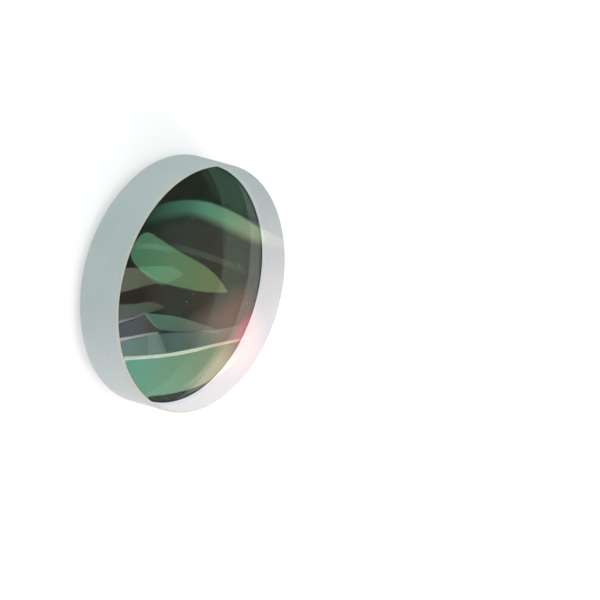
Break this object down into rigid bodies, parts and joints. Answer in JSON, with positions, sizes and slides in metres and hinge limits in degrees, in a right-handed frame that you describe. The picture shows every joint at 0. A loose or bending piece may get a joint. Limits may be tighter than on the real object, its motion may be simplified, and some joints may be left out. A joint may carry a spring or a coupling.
{
  "type": "collimating lens",
  "caption": "Round meniscus lens with a concave front face, a convex back face, a fine-ground edge and a small bevel on each rim.",
  "frame": {"origin": "vertex of the convex back face, the lowest point of the lens, on the optical axis", "axes": "+Z along the optical axis, from the convex back face to the concave front face; X and Y are any pair across it, because the lens is round"},
  "size_m": [0.037, 0.037, 0.0086],
  "materials": {
    "optical_glass": "faces polished and anti-reflection coated with a green residual tint; edge and bevels fine-ground, pale grey"
  },
  "bodies": {
    "root": {"collimating_lens": "optical_glass"}
  },
  "joints": []
}
